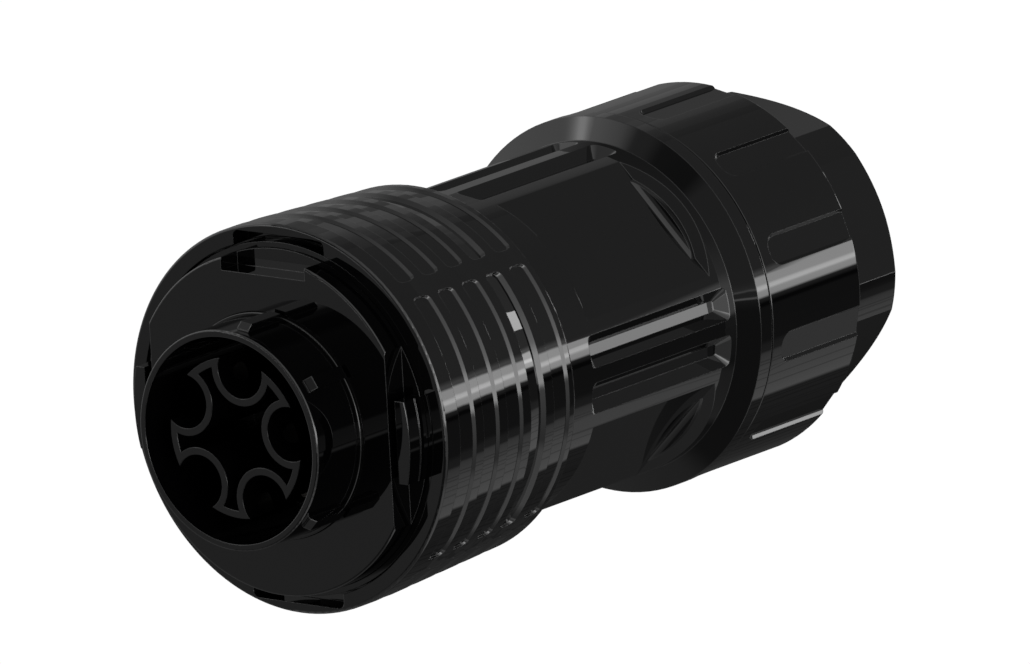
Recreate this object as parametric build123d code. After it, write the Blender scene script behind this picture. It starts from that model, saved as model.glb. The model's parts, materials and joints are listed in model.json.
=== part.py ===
from build123d import *
import os
import math

os.makedirs("parts", exist_ok=True)

# Round AC power cable connector, five-pole, cable side, with a turning coupling
# ring at the mating end and a union nut with a gland at the cable end.
# Frame: the connector stands on the rear face of its union nut.
# +Z runs along the axis towards the mating face, +Y is the keyed side,
# the origin is the centre of the rear face. Millimetres.

# ---- driving dimensions -------------------------------------------------
Z_COLLAR = 100.2       # height of the coupling ring's front plane
# depths below are measured back from that plane; negative is in front of it
R_COLLAR = 25.0        # coupling ring, outside, at its front
R_COLLAR_REAR = 23.9   # coupling ring, outside, at its rear edge
D_COLLAR = 27.6        # length of the coupling ring
RIM_FILLET = 0.45
GRIP_STEPS = (6.2, 11.2, 16.3, 21.2, 26.3)   # rear edge of each grip groove
GRIP_LEN = 3.3
GRIP_FRONT = (0.3, 0.3, 0.3, 0.15, 0.3)      # depth of each groove at its front
GRIP_REAR = (0.3, 0.3, 0.3, 0.46, 0.3)       # and at its rear
GRIP_CORNER = 0.7
LAND_DEG = 5.8         # plain land between the groove rows
R_COLLAR_BORE = 22.85
R_COLLAR_LIP = 22.15
R_COLLAR_SKIRT = 22.75
SLOT_CHORD = 23.65     # flat top of the release slot in the ring's face
SLOT_HALF = 7.2
SLOT_DEPTH = 3.0

D_NOSE = -3.4          # front plane of the fixed bayonet ring
R_NOSE = 21.9
R_NOSE_FLANGE = 22.4
R_NOSE_BORE = 14.2
KEY_FLOOR = 19.25      # top key notch, floor distance from the axis
KEY_HALF = 6.65
SIDE_FLAT = 18.7       # side flats, distance from the axis
LUG_INNER = 19.9
LUG_HALF = 5.3
R_SEAL_LIP = 14.56
D_SEAL_LIP = -3.9

D_TUBE = -12.0         # front rim of the insert's tube
R_TUBE = 14.13
TUBE_WALL = 0.85
D_STAR = -10.6
R_STAR = 10.3
STAR_WALL = 0.95
BITE_R = 3.5
BITE_PCR = 8.8
BITE_DEG0 = 81.6       # first contact chamber, degrees from +X
D_CHAMBER = 6.0        # floor of the contact chambers
RIB_DEGS = (82.0, 34.0, -43.0, 193.0)
RIB_TOP = 15.0
RIB_W = 1.7

PIN_R = 1.8
PIN_TIP = -2.5
PIN_BARREL_R = 2.7

R_BODY = 21.5
R_BODY_BORE = 18.0
PANEL_FLAT = 19.3
PANEL = (35.2, 60.2)
PANEL_RAMP = 2.0       # length of the slope that ends each panel
R_BUMP = 20.37         # coaxial step at the foot of that slope
BUMP_FOOT = 1.0        # hollow radius at the foot of that step
GROOVE = (34.3, 62.5)
GROOVE_OFF = 8.1       # degrees from the centre line of each pair
GROOVE_W = 4.15
GROOVE_FLOOR = 1.45    # width of the groove's floor
GROOVE_DEPTH = 1.3
R_FLANGE = 24.36
FLANGE = (63.7, 65.1, 67.4)
R_THREAD = 20.7
D_THREAD_END = 82.0

D_NUT = 67.7
R_NUT = 24.24
D_NUT_GRIP = 86.0      # rear edge of the grip, where the hexagon starts
R_HEX = 20.35          # hexagon, outside its rounded corners
HEX_AF2 = 18.75        # half the width across the flats
HEX_DEG = 19.9
D_HEX_CHAMFER = 98.2
HEX_CHAMFER = 2.0      # ends at the rear face
R_NUT_BORE = 21.0
POCKETS = 12
POCKET_DEG0 = 19.9
POCKET_START = 69.6
POCKET_DEG = 10.0
POCKET_DEPTH = 0.5
POCKET_SLOPE = 0.4     # how far the pocket's sides lean in
R_ENTRY = 11.5
R_NUT_CAVITY = 15.6
D_NUT_WALL = 94.2

PITCH = 2.0            # union nut thread, lead per turn

C = (Align.CENTER, Align.CENTER, Align.MIN)


def z(d):
    """height of a plane that lies d behind the coupling ring's front"""
    return Z_COLLAR - d


def cyl(r, d0, d1):
    """solid cylinder from depth d0 to the deeper d1"""
    return Pos(0, 0, z(d1)) * Cylinder(r, d1 - d0, align=C)


def ring(ri, ro, d0, d1):
    return cyl(ro, d0, d1) - cyl(ri, d0 - 1, d1 + 1)


def turned(pts):
    """solid of revolution from (radius, depth) points"""
    f = make_face(Polyline([(r, 0, z(d)) for r, d in pts], close=True))
    return revolve(f, Axis.Z, 360)


def block(x0, x1, y0, y1, d0, d1):
    return Pos((x0 + x1) / 2, (y0 + y1) / 2, z(d1)) * Box(
        x1 - x0, y1 - y0, d1 - d0, align=C)


def save(shape, name, label=None):
    if isinstance(shape, ShapeList):
        shape = Compound(list(shape))
    shape.label = label or name
    export_step(shape, os.path.join("parts", name + ".step"))
    print(name, "%.0f" % shape.volume)


def edges_at(shape, fn):
    return [e for e in shape.edges() if fn(e)]


def circ_at(shape, r, d, tol=0.06):
    """arc edges of radius r lying in the plane at depth d"""
    out = []
    for e in shape.edges():
        if e.geom_type != GeomType.CIRCLE:
            continue
        if abs(e.radius - r) < tol and abs(e.center(CenterOf.MASS).Z - z(d)) < tol:
            out.append(e)
    return out


def soften(shape, edges, r):
    """fillet where the kernel can, otherwise leave the edge sharp"""
    if not edges:
        return shape
    try:
        s = shape.fillet(r, edges)
        if s.is_valid and s.volume > 0:
            return s
    except Exception as err:
        print("fillet left out:", type(err).__name__, r)
    return shape


# ---- coupling ring ------------------------------------------------------
def envelope(d):
    if d < 4.5:
        return R_COLLAR
    return R_COLLAR + (R_COLLAR_REAR - R_COLLAR) * (d - 4.5) / (D_COLLAR - 4.5)


collar = turned([
    (R_COLLAR_BORE, 0), (R_COLLAR, 0), (R_COLLAR, 4.5),
    (R_COLLAR_REAR, D_COLLAR), (R_COLLAR_SKIRT, D_COLLAR),
    (R_COLLAR_SKIRT, 4.7), (R_COLLAR_LIP, 4.7), (R_COLLAR_LIP, 3.1),
    (R_COLLAR_BORE, 3.1)])
collar = soften(collar, circ_at(collar, R_COLLAR, 0), RIM_FILLET)
collar = soften(collar, circ_at(collar, R_COLLAR_REAR, D_COLLAR), 0.35)
span = 90.0 - LAND_DEG
for step, front, rear in zip(GRIP_STEPS, GRIP_FRONT, GRIP_REAR):
    # floor along the ring, sloping sides, rounded corners
    d0, d1 = step - GRIP_LEN, step - 1.2 * rear
    r0, r1 = envelope(d0) - front, envelope(d1) - rear
    w = Polyline([(r0, 0, z(d0 + 0.2)), (r1, 0, z(d1)),
                  (r1 + 1.2, 0, z(d1 + 1.2 * 1.2)), (r0 + 1.2, 0, z(d0 - 0.6))], close=True)
    cutter = revolve(make_face(w), Axis.Z, span)
    ends = []
    for e in cutter.edges():
        p0, p1 = e @ 0, e @ 1
        if e.geom_type == GeomType.LINE and abs(
                math.hypot(p0.X, p0.Y) - math.hypot(p1.X, p1.Y)) > 0.9:
            ends.append(e)
    cutter = soften(cutter, ends, GRIP_CORNER)
    for q in range(4):
        collar = collar - Rot(0, 0, 45 + LAND_DEG / 2 + 90 * q) * cutter
# release slots in the front face, one on the keyed side and one opposite
for sgn in (1, -1):
    slot = Pos(0, sgn * (SLOT_CHORD - 2.0), z(SLOT_DEPTH)) * Box(
        2 * SLOT_HALF, 4.0, SLOT_DEPTH + 1, align=C)
    slot = soften(slot, [e for e in slot.edges()
                         if abs(e.tangent_at(0.5).Z) > 0.9
                         and abs(e.center().Y - sgn * SLOT_CHORD) < 0.1], 0.9)
    collar = collar - slot
# detent recesses in the bore
for q in range(2):
    collar = collar - Rot(0, 0, 45 + 180 * q) * Pos(R_COLLAR_SKIRT, 0, z(12.0)) * Cylinder(
        0.55, 7.0, align=C)
save(collar, "coupling_ring")

# sprung detent band that turns with the coupling ring
band = ring(21.75, 22.2, 10.5, 15.5)
band = band - block(0, 30, -2.0, 2.0, 10, 16)
# (sits in the annular space between the skirt and the body)

# ---- fixed bayonet ring -------------------------------------------------
nose = turned([
    (R_NOSE_BORE, D_NOSE + 3.0), (R_SEAL_LIP + 0.04, D_NOSE + 3.0),
    (R_SEAL_LIP + 0.04, D_NOSE), (R_NOSE, D_NOSE), (R_NOSE, 4.9),
    (R_NOSE_FLANGE, 4.9), (R_NOSE_FLANGE, 9.2), (17.9, 9.2), (17.9, 14.0),
    (17.2, 14.0), (17.2, 7.8), (R_NOSE_BORE, 7.8)])
nose = soften(nose, circ_at(nose, R_NOSE, D_NOSE), 0.3)
# key notch on the +Y side
nose = nose - block(-KEY_HALF, KEY_HALF, KEY_FLOOR, 30, D_NOSE - 1, 0.0)
# side flats, with a guide lug standing outside each
for sgn in (1, -1):
    cut = block(SIDE_FLAT, 30, -14, 14, D_NOSE - 1, 0.0)
    lug = (cyl(R_NOSE, D_NOSE, 0.0) & block(LUG_INNER, 30, -LUG_HALF, LUG_HALF,
                                            D_NOSE, 0.0))
    lug = lug - ring(R_NOSE - 0.12, R_NOSE + 1, D_NOSE + 2.05, D_NOSE + 2.3)
    if sgn < 0:
        cut = Rot(0, 0, 180) * cut
        lug = Rot(0, 0, 180) * lug
    nose = nose - cut + lug
save(nose, "bayonet_ring")

# snap ring that keeps the coupling ring on
keeper = ring(R_NOSE + 0.02, R_COLLAR_BORE - 0.2, 0.35, 2.9)
keeper = keeper - block(-1.2, 1.2, -30, 0, -5, 10)
save(keeper, "ring_retainer")
save(band, "detent_spring")

# ---- contact carrier ----------------------------------------------------
carrier = cyl(R_TUBE, D_TUBE, 7.9) + cyl(17.0, 7.9, 11.8) + cyl(15.8, 11.8, 26.0)
well = cyl(R_TUBE - TUBE_WALL, D_TUBE - 1, D_CHAMBER)
star = cyl(R_STAR, D_STAR, D_CHAMBER)
hollow = cyl(R_STAR - STAR_WALL, D_STAR - 1, D_CHAMBER - 1.5)
for i in range(5):
    a = math.radians(BITE_DEG0 - 72 * i)
    p = Pos(BITE_PCR * math.cos(a), BITE_PCR * math.sin(a), 0)
    star = star - p * cyl(BITE_R, D_STAR - 1, D_CHAMBER + 1)
    hollow = hollow - p * cyl(BITE_R + STAR_WALL, D_STAR - 2, D_CHAMBER + 1)
star = star - hollow
core = star
carrier = carrier - well
for i in range(5):
    a = math.radians(BITE_DEG0 - 72 * i)
    p = Pos(BITE_PCR * math.cos(a), BITE_PCR * math.sin(a), 0)
    carrier = carrier - p * cyl(PIN_R + 0.1, D_CHAMBER - 1, 14.0)
    carrier = carrier - p * cyl(PIN_BARREL_R + 0.1, 14.0, 27.0)
for dg in RIB_DEGS:
    rib = block(R_TUBE - 0.3, RIB_TOP, -RIB_W / 2, RIB_W / 2, D_TUBE + 1.6, D_SEAL_LIP)
    rib = rib - Pos(RIB_TOP, 0, z(D_TUBE + 1.6)) * Rot(0, 45, 0) * Box(1.0, 4, 1.0)
    carrier = carrier + Rot(0, 0, dg) * rib
carrier = carrier - cyl(1.65, 23.5, 27.0)
carrier = soften(carrier, circ_at(carrier, R_TUBE, D_TUBE), 0.25)
save(carrier, "contact_carrier")
save(core, "keying_core")

# sealing sleeve round the insert's tube, its lip proud of the bayonet ring
seal = ring(R_TUBE + 0.03, R_SEAL_LIP, D_SEAL_LIP, D_NOSE + 2.95)
seal = soften(seal, circ_at(seal, R_SEAL_LIP, D_SEAL_LIP), 0.15)
save(seal, "interface_seal")

# ---- contacts -----------------------------------------------------------
names = ("contact_pin_pe", "contact_pin_l1", "contact_pin_l2",
         "contact_pin_l3", "contact_pin_n")
for i, nm in enumerate(names):
    a = math.radians(BITE_DEG0 - 72 * i)
    pin = turned([
        (0, PIN_TIP), (PIN_R - 0.6, PIN_TIP), (PIN_R, PIN_TIP + 1.0), (PIN_R, 14.05),
        (PIN_BARREL_R, 14.05), (PIN_BARREL_R, 36.0), (1.9, 36.0), (1.9, 27.0),
        (0, 26.5)])
    pin = pin - Pos(0, 0, z(31.0)) * Rot(0, 90, BITE_DEG0 - 72 * i) * Cylinder(
        0.6, 20, align=C)
    save(Pos(BITE_PCR * math.cos(a), BITE_PCR * math.sin(a), 0) * pin, nm)

# plate that locks the contacts in the carrier
plate = cyl(17.0, 26.05, 30.0)
for i in range(5):
    a = math.radians(BITE_DEG0 - 72 * i)
    plate = plate - Pos(BITE_PCR * math.cos(a), BITE_PCR * math.sin(a), 0) * cyl(
        PIN_BARREL_R + 0.1, 26, 31)
plate = plate - cyl(1.65, 20, 40)
save(plate, "contact_retainer")
scr = cyl(2.9, 30.05, 31.6) + cyl(1.6, 24.0, 30.05)
scr = scr - Pos(0, 0, z(31.6)) * Box(4.6, 0.7, 1.4)
save(scr, "retainer_screw")

# carrier gasket, against the housing's front
gasket = ring(15.85, 17.15, 11.85, 14.0)
save(gasket, "carrier_seal")

# ---- main housing -------------------------------------------------------
body = turned([
    (17.95, 9.25), (R_BODY, 9.25), (R_BODY, FLANGE[0]), (R_FLANGE, FLANGE[1]),
    (R_FLANGE, FLANGE[2]), (R_THREAD, FLANGE[2]), (R_THREAD, D_THREAD_END),
    (15.7, D_THREAD_END), (15.7, 62.0), (R_BODY_BORE, 58.0), (R_BODY_BORE, 30.5),
    (17.1, 30.5), (17.1, 14.1), (17.95, 14.1)])
rise = R_BODY - PANEL_FLAT
for q in range(4):
    side = make_face(Polyline(
        [(PANEL_FLAT, 0, z(PANEL[0])), (PANEL_FLAT, 0, z(PANEL[1])),
         (R_BODY + rise, 0, z(PANEL[1] + 2 * PANEL_RAMP)),
         (R_BODY + rise, 0, z(PANEL[0]))], close=True))
    flat = Pos(0, 14, 0) * extrude(side, 28, dir=(0, -1, 0))
    flat = flat - cyl(R_BUMP, PANEL[1], PANEL[1] + 6)
    f = BUMP_FOOT
    mid = f * (1 - math.sqrt(0.5))
    foot = Line((PANEL_FLAT - 0.5, 0, z(PANEL[1] - f)), (PANEL_FLAT, 0, z(PANEL[1] - f)))
    foot += ThreePointArc((PANEL_FLAT, 0, z(PANEL[1] - f)),
                          (PANEL_FLAT + mid, 0, z(PANEL[1] - mid)),
                          (PANEL_FLAT + f, 0, z(PANEL[1])))
    foot += Polyline((PANEL_FLAT + f, 0, z(PANEL[1])), (PANEL_FLAT + f, 0, z(PANEL[1] + 0.5)),
                     (PANEL_FLAT - 0.5, 0, z(PANEL[1] + 0.5)),
                     (PANEL_FLAT - 0.5, 0, z(PANEL[1] - f)))
    wedge = Pos(0, 14, 0) * extrude(make_face(foot), 28, dir=(0, -1, 0))
    wedge = wedge - ring(R_BUMP, 40, PANEL[1] - 2, PANEL[1] + 2)
    wedge = wedge - cyl(60, PANEL[1], PANEL[1] + 2)
    flat = flat - wedge
    body = body - Rot(0, 0, 45 + 90 * q) * flat
    for s in (-1, 1):
        # groove with sloping sides and ends
        slope = (GROOVE_W - GROOVE_FLOOR) / 2 / GROOVE_DEPTH
        over = 0.4
        ln = GROOVE[1] - GROOVE[0]
        top = Pos(0, 0, GROOVE_DEPTH + over) * RectangleRounded(
            ln + 2 * over * slope, GROOVE_W + 2 * over * slope, 0.9)
        foot = RectangleRounded(ln - 2 * GROOVE_DEPTH * slope, GROOVE_FLOOR, 0.3)
        g = loft([foot, top], ruled=True)
        g = Pos(R_BODY - 0.1 - GROOVE_DEPTH, 0, z((GROOVE[0] + GROOVE[1]) / 2)) * Rot(0, 90, 0) * g
        body = body - Rot(0, 0, 90 * q + s * GROOVE_OFF) * g
body = soften(body, circ_at(body, R_FLANGE, FLANGE[2]), 0.12)
body = body - turned([(R_THREAD - 1.7, 67.75), (R_THREAD + 1, 67.75),
                      (R_THREAD + 1, 69.45), (R_THREAD - 1.7, 69.45)])
save(body, "main_housing")

# ---- union nut with gland ----------------------------------------------
end = D_HEX_CHAMFER + HEX_CHAMFER
nut = turned([
    (R_HEX - HEX_CHAMFER, end), (R_ENTRY, end), (R_ENTRY, D_NUT_WALL),
    (R_NUT_CAVITY, D_NUT_WALL), (R_NUT_CAVITY, 84.6), (R_NUT_BORE, 83.2),
    (R_NUT_BORE, D_NUT), (R_NUT, D_NUT), (R_NUT, D_NUT_GRIP), (R_HEX, D_NUT_GRIP),
    (R_HEX, D_HEX_CHAMFER)])
nut = soften(nut, circ_at(nut, R_NUT, D_NUT), 0.12)
nut = soften(nut, circ_at(nut, R_NUT, D_NUT_GRIP), 0.4)
for i in range(6):
    nut = nut - Rot(0, 0, HEX_DEG + 60 * i) * block(HEX_AF2, 30, -20, 20, D_NUT_GRIP, 110)
for i in range(POCKETS):
    # pocket with leaning sides, open at the rear
    w = 2 * R_NUT * math.sin(math.radians(POCKET_DEG / 2))
    ln = D_NUT_GRIP + 6 - POCKET_START
    k = POCKET_SLOPE / POCKET_DEPTH
    out = 0.5
    top = Pos(0, 0, POCKET_DEPTH + out) * RectangleRounded(
        ln + 2 * out * k, w + 2 * out * k, 1.9 + out * k)
    foot = RectangleRounded(ln - 2 * POCKET_SLOPE, w - 2 * POCKET_SLOPE, 1.9 - POCKET_SLOPE)
    p = loft([foot, top], ruled=True)
    p = Pos(R_NUT - POCKET_DEPTH, 0, z(POCKET_START + ln / 2)) * Rot(0, 90, 0) * p
    p = p - cyl(40, D_NUT_GRIP + 0.6, 120)
    nut = nut - Rot(0, 0, POCKET_DEG0 + 30 * i) * p
save(nut, "gland_nut")

save(ring(R_ENTRY + 0.6, 14.8, 92.2, 94.1), "thrust_washer")

# ---- clamping cage and grommet -----------------------------------------
cage = turned([
    (13.1, 70.0), (15.3, 70.0), (15.3, 88.0), (14.4, 91.8), (12.2, 91.8),
    (12.2, 90.4), (13.1, 89.4)])
cage = cage - cyl(12.0, 60, 99)
for i in range(8):
    cage = cage - Rot(0, 0, 45 * i) * block(10, 20, -0.7, 0.7, 78.0, 95)
save(cage, "clamping_cage")
grommet = turned([
    (8.0, 71.0), (12.9, 71.0), (12.9, 89.0), (11.7, 90.2), (11.7, 91.6), (8.0, 91.6)])
save(grommet, "sealing_grommet")

# O-ring between the housing flange and the union nut
save(Pos(0, 0, z(68.6)) * Torus(R_THREAD - 0.85, 0.82), "rear_seal")
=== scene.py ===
import bpy
import json
import math
from mathutils import Matrix, Vector


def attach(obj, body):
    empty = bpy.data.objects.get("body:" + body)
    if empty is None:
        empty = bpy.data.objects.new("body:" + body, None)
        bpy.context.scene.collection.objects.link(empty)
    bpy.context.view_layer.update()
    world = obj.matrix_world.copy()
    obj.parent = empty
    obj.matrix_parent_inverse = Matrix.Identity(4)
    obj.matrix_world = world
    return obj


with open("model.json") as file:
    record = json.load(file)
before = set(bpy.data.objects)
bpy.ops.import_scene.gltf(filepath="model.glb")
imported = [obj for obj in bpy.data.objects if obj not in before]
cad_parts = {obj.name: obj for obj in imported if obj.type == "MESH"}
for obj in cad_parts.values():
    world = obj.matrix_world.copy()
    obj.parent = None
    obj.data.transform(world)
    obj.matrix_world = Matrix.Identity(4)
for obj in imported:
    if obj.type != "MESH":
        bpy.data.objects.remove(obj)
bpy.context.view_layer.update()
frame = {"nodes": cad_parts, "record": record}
scene = bpy.context.scene
nodes = frame["nodes"]

# ---------------------------------------------------------------- camera
# The reference view is a parallel projection, so a very long lens stands far off,
# though not so far that the object leaves the clipping range of the other views.
PHI = math.radians(19.76)      # the axis' slope in the picture
KAX = 0.7571                   # cosine between the line of sight and the axis
SAX = math.sqrt(1 - KAX * KAX)
TH0 = math.radians(21.4)
w3 = Vector((math.cos(TH0), math.sin(TH0), 0))
n3 = Vector((math.cos(TH0 - math.pi / 2), math.sin(TH0 - math.pi / 2), 0))
zax = Vector((0, 0, 1))
u3 = -SAX * zax + KAX * w3
v3 = -KAX * zax - SAX * w3
right = math.cos(PHI) * u3 + math.sin(PHI) * n3
up = math.sin(PHI) * u3 - math.cos(PHI) * n3
MM = 0.12626e-3                # metres to a picture pixel
target = zax * 0.05353 - n3 * 4.86 * MM - right * 2.0 * MM
DIST = 3.8
cam = bpy.data.objects.new("camera", bpy.data.cameras.new("camera"))
scene.collection.objects.link(cam)
cam.data.sensor_width = 36
cam.data.sensor_fit = "HORIZONTAL"
cam.data.lens = 36 * DIST / (1030 * MM) * 1.004
cam.data.clip_start = 1.0
cam.data.clip_end = 50.0
back = -v3
cam.matrix_world = Matrix((
    (right.x, up.x, back.x, 0), (right.y, up.y, back.y, 0),
    (right.z, up.z, back.z, 0), (0, 0, 0, 1)))
cam.location = target + back * DIST
scene.camera = cam
scene.view_settings.view_transform = "Standard"
scene.view_settings.look = "None"


# ---------------------------------------------------------------- room
# A white studio round a mirror-black object. The soft boxes are laid out by
# azimuth, in degrees from the camera's side of the object, in three storeys:
# under the object, at its height, and over it. Each stop is (azimuth, level).
UNDER = [
    (-180, 0.10), (-156, 0.19), (-144, 0.23), (-128, 0.20), (-112, 0.26),
    (-98, 0.17), (-88, 0.15), (-60, 0.19), (0, 0.245),
    (11.0, 0.245), (11.6, 0.75), (14.6, 0.75), (15.2, 3.9), (20.5, 3.9), (21.2, 6.4), (22.8, 6.4),
    (23.6, 3.9), (27.0, 3.4), (27.6, 0.22), (29.6, 0.12), (30.4, 0.02), (33.0, 0.02),
    (33.8, 0.068), (54.0, 0.066), (56.5, 0.13), (61.0, 0.14),
    (62.0, 0.38), (72.0, 0.52), (91.5, 0.56), (93.5, 0.10), (114.0, 0.055), (172.0, 0.05)]
LEVEL = [
    (-180, 0.30), (-150, 0.9), (-118, 1.2), (-100, 0.5), (-70, 0.8), (-45, 1.1), (-15, 1.5),
    (5, 2.6), (12, 5.5), (27, 5.5), (30, 1.0), (56, 0.5), (62, 1.1), (90, 1.0), (96, 0.3),
    (150, 0.25)]
OVER = [
    (-180, 0.295), (-150, 0.30), (-141, 1.3), (-131, 1.6), (-126, 5.0), (-123, 1.5),
    (-113, 1.0), (-108, 0.30), (-103, 0.29), (-98, 0.12), (-88, 0.10), (-80, 0.10), (-72, 0.29),
    (0, 0.295), (26, 0.30), (28, 1.3), (39.6, 1.5), (40.0, 5.0), (41.4, 5.0), (41.9, 0.3),
    (47.0, 0.3), (47.4, 3.2), (48.3, 3.2), (48.8, 0.10), (150, 0.10), (165, 0.295)]
TOP = 8.0


def build_room(nt):
    nt.nodes.clear()
    new = nt.nodes.new
    ln = nt.links.new
    tc = new("ShaderNodeTexCoord")

    def dot(vec):
        d = new("ShaderNodeVectorMath")
        d.operation = "DOT_PRODUCT"
        d.inputs[1].default_value = vec
        ln(tc.outputs["Generated"], d.inputs[0])
        return d.outputs["Value"]

    def math_node(op, a, b=None, c=None):
        m = new("ShaderNodeMath")
        m.operation = op
        for i, v in enumerate((a, b, c)):
            if v is None:
                continue
            if isinstance(v, (int, float)):
                m.inputs[i].default_value = v
            else:
                ln(v, m.inputs[i])
        return m.outputs[0]

    dw, dn, dz = dot(w3), dot(n3), dot(zax)
    az = math_node("ARCTAN2", dn, dw)
    pos = math_node("MULTIPLY_ADD", az, 1 / (2 * math.pi), 0.5)

    def ramp(stops):
        r = new("ShaderNodeValToRGB")
        cr = r.color_ramp
        cr.interpolation = "LINEAR"
        while len(cr.elements) > 1:
            cr.elements.remove(cr.elements[-1])
        first = True
        for a, v in stops:
            p = (a + 180) / 360
            e = cr.elements[0] if first else cr.elements.new(p)
            e.position = p
            e.color = (v / TOP, v / TOP, v / TOP, 1)
            first = False
        ln(pos, r.inputs["Fac"])
        return r.outputs["Color"]

    def blend(lo, hi, a, b):
        m = new("ShaderNodeMapRange")
        m.interpolation_type = "SMOOTHSTEP"
        m.inputs["From Min"].default_value = lo
        m.inputs["From Max"].default_value = hi
        ln(dz, m.inputs["Value"])
        x = new("ShaderNodeMix")
        x.data_type = "RGBA"
        ln(m.outputs["Result"], x.inputs["Factor"])
        ln(a, x.inputs["A"])
        ln(b, x.inputs["B"])
        return x.outputs["Result"]

    low, mid, high = ramp(UNDER), ramp(LEVEL), ramp(OVER)

    def scaled(col, fac):
        s = new("ShaderNodeVectorMath")
        s.operation = "SCALE"
        ln(col, s.inputs[0])
        ln(fac, s.inputs["Scale"])
        return s.outputs["Vector"]

    def between(lo, hi):
        """1 where the azimuth in turns lies between lo and hi, in degrees"""
        a = math_node("GREATER_THAN", pos, (lo + 180) / 360)
        return math_node("MULTIPLY", a, math_node("LESS_THAN", pos, (hi + 180) / 360))

    # louvres in the long box on the far right: fine darker lines
    n1 = new("ShaderNodeTexNoise")
    n1.noise_dimensions = "1D"
    n1.inputs["Scale"].default_value = 190.0
    n1.inputs["Detail"].default_value = 1.0
    ln(pos, n1.inputs["W"])
    line = math_node("GREATER_THAN", n1.outputs["Fac"], 0.60)
    line = math_node("MULTIPLY", line, between(63, 172))
    low = scaled(low, math_node("MULTIPLY_ADD", line, -0.30, 1.0))
    # panels of a wall behind, on the left: patches of slightly different white
    cell = new("ShaderNodeCombineXYZ")
    ln(math_node("FLOOR", math_node("MULTIPLY", pos, 46.0)), cell.inputs[0])
    ln(math_node("FLOOR", math_node("MULTIPLY", dz, 60.0)), cell.inputs[1])
    wn = new("ShaderNodeTexWhiteNoise")
    wn.noise_dimensions = "2D"
    ln(cell.outputs[0], wn.inputs["Vector"])
    patchy = math_node("MULTIPLY", math_node("SUBTRACT", wn.outputs["Value"], 0.5), between(-180, -88))
    low = scaled(low, math_node("MULTIPLY_ADD", patchy, 0.55, 1.0))
    col = blend(-0.52, -0.40, low, mid)
    col = blend(0.52, 0.64, col, high)
    # near the zenith the boxes end, and the ceiling is even
    ceil = new("ShaderNodeRGB")
    ceil.outputs[0].default_value = (0.295 / TOP, 0.295 / TOP, 0.295 / TOP, 1)
    col = blend(0.955, 0.975, col, ceil.outputs[0])
    # small soft box right under the object
    inside = math_node("COMPARE", dn, -0.085, 0.05)
    inside = math_node("MULTIPLY", inside, math_node("COMPARE", dw, 0.36, 0.16))
    inside = math_node("MULTIPLY", inside, math_node("LESS_THAN", dz, 0.0))
    patch = new("ShaderNodeRGB")
    patch.outputs[0].default_value = (4.5 / TOP, 4.5 / TOP, 4.5 / TOP, 1)
    mixp = new("ShaderNodeMix")
    mixp.data_type = "RGBA"
    ln(inside, mixp.inputs["Factor"])
    ln(col, mixp.inputs["A"])
    ln(patch.outputs[0], mixp.inputs["B"])
    room = new("ShaderNodeBackground")
    room.inputs["Strength"].default_value = TOP
    ln(mixp.outputs["Result"], room.inputs["Color"])
    white = new("ShaderNodeBackground")
    white.inputs["Color"].default_value = (1, 1, 1, 1)
    white.inputs["Strength"].default_value = 1.02
    lp = new("ShaderNodeLightPath")
    sh = new("ShaderNodeMixShader")
    ln(lp.outputs["Is Camera Ray"], sh.inputs["Fac"])
    ln(room.outputs[0], sh.inputs[1])
    ln(white.outputs[0], sh.inputs[2])
    out = new("ShaderNodeOutputWorld")
    ln(sh.outputs[0], out.inputs["Surface"])


world = bpy.data.worlds.new("room")
world.use_nodes = True
build_room(world.node_tree)
scene.world = world

# pale floor, lit through evenly, and left out of the gloss so that the boxes
# under the object show in it; it lies 9 mm low, so that the nut has room to unscrew
me = bpy.data.meshes.new("floor")
F = 6.0
LOW = -0.009
me.from_pydata([(-F, -F, LOW), (F, -F, LOW), (F, F, LOW), (-F, F, LOW)], [], [(0, 1, 2, 3)])
floor = bpy.data.objects.new("floor", me)
scene.collection.objects.link(floor)
fm = bpy.data.materials.new("floor_white")
fm.use_nodes = True
fm.node_tree.nodes.clear()
em = fm.node_tree.nodes.new("ShaderNodeEmission")
em.inputs["Color"].default_value = (1, 1, 1, 1)
em.inputs["Strength"].default_value = 1.02
fo = fm.node_tree.nodes.new("ShaderNodeOutputMaterial")
fm.node_tree.links.new(em.outputs[0], fo.inputs["Surface"])
me.materials.append(fm)
floor.visible_glossy = False
floor.visible_diffuse = False


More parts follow.
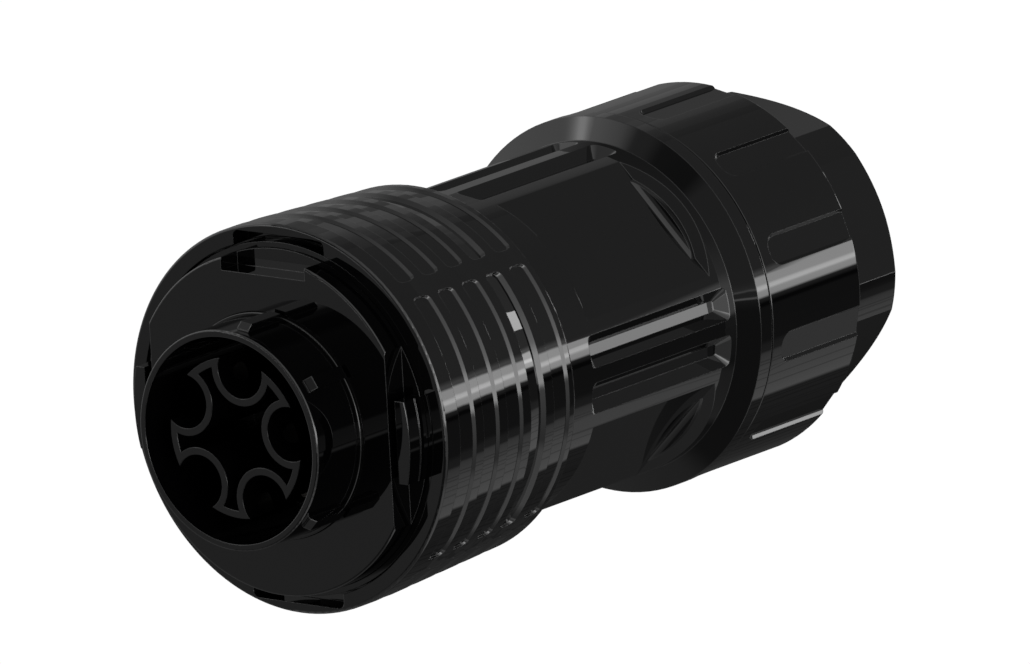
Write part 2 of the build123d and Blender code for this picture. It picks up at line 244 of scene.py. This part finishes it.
# ---------------------------------------------------------------- materials
def gloss(name, base, rough, ior, bevel=0.0, bump=0.0, scale=900.0, rough_var=0.0, metallic=0.0):
    """moulded or turned surface: an uneven polish, faint moulding waves and softened edges"""
    m = bpy.data.materials.new(name)
    m.use_nodes = True
    nt = m.node_tree
    b = nt.nodes["Principled BSDF"]
    b.inputs["Base Color"].default_value = (*base, 1)
    b.inputs["Roughness"].default_value = rough
    b.inputs["IOR"].default_value = ior
    b.inputs["Metallic"].default_value = metallic
    tc = nt.nodes.new("ShaderNodeTexCoord")
    if rough_var:
        ns = nt.nodes.new("ShaderNodeTexNoise")
        ns.inputs["Scale"].default_value = scale * 0.12
        ns.inputs["Detail"].default_value = 3
        nt.links.new(tc.outputs["Object"], ns.inputs["Vector"])
        mr = nt.nodes.new("ShaderNodeMapRange")
        mr.inputs["To Min"].default_value = rough
        mr.inputs["To Max"].default_value = rough + rough_var
        nt.links.new(ns.outputs["Fac"], mr.inputs["Value"])
        nt.links.new(mr.outputs["Result"], b.inputs["Roughness"])
    normal = None
    if bevel:
        bv = nt.nodes.new("ShaderNodeBevel")
        bv.samples = 6
        bv.inputs["Radius"].default_value = bevel
        normal = bv.outputs["Normal"]
    if bump:
        n2 = nt.nodes.new("ShaderNodeTexNoise")
        n2.inputs["Scale"].default_value = scale
        n2.inputs["Detail"].default_value = 2
        nt.links.new(tc.outputs["Object"], n2.inputs["Vector"])
        bp = nt.nodes.new("ShaderNodeBump")
        bp.inputs["Strength"].default_value = bump
        bp.inputs["Distance"].default_value = 0.0001
        nt.links.new(n2.outputs["Fac"], bp.inputs["Height"])
        if normal is not None:
            nt.links.new(normal, bp.inputs["Normal"])
        normal = bp.outputs["Normal"]
    if normal is not None:
        nt.links.new(normal, b.inputs["Normal"])
    return m


mats = {
    "shell": gloss("shell", (0.0008, 0.0008, 0.0009), 0.012, 1.5, 0.00013, 0.0, 700.0, 0.016),
    "insert": gloss("insert", (0.0008, 0.0008, 0.0009), 0.014, 1.5, 0.00018, 0.0, 700.0, 0.02),
    "seal": gloss("seal", (0.0014, 0.0014, 0.0014), 0.06, 1.5, 0.0, 0.05, 1500.0, 0.06),
    "contact": gloss("contact", (0.20, 0.19, 0.175), 0.24, 1.5, 0.0, 0.05, 900.0, 0.08, metallic=1.0),
    "spring_steel": gloss("spring_steel", (0.42, 0.42, 0.43), 0.25, 1.5, 0.0, 0.05, 900.0, 0.08, metallic=1.0),
}
slot_of = {s["node"]: s["material_slot"] for s in frame["record"]["subparts"]}
for name, ob in nodes.items():
    ob.data.materials.clear()
    ob.data.materials.append(mats[slot_of[name]])


# ---------------------------------------------------------------- thread
def helix(name, r0, r1, pitch, z0, z1, seg=96):
    """ridge of a screw thread on a cylinder of radius r0, fading at both ends"""
    turns = (z1 - z0) / pitch
    count = int(turns * seg)
    verts, faces = [], []
    for i in range(count + 1):
        t = i / seg
        a = 2 * math.pi * t
        zz = z0 + pitch * t
        fade = min(1.0, i / (seg * 0.3), (count - i) / (seg * 0.3))
        crest = r0 + (r1 - r0) * fade
        for r, dz in ((r0 - 0.00005, -0.42 * pitch), (crest, -0.10 * pitch),
                      (crest, 0.10 * pitch), (r0 - 0.00005, 0.42 * pitch)):
            verts.append((r * math.cos(a), r * math.sin(a), zz + dz))
    for i in range(count):
        b = 4 * i
        for j in range(4):
            k = (j + 1) % 4
            faces.append((b + j, b + k, b + 4 + k, b + 4 + j))
    faces.append((3, 2, 1, 0))
    e = 4 * count
    faces.append((e, e + 1, e + 2, e + 3))
    mesh = bpy.data.meshes.new(name)
    mesh.from_pydata(verts, [], faces)
    mesh.validate()
    mesh.update()
    mesh.materials.append(mats["shell"])
    ob = bpy.data.objects.new(name, mesh)
    scene.collection.objects.link(ob)
    return ob


thread = helix("housing_thread", 0.0207, 0.02092, 0.002, 0.0196, 0.0294)
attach(thread, "housing")
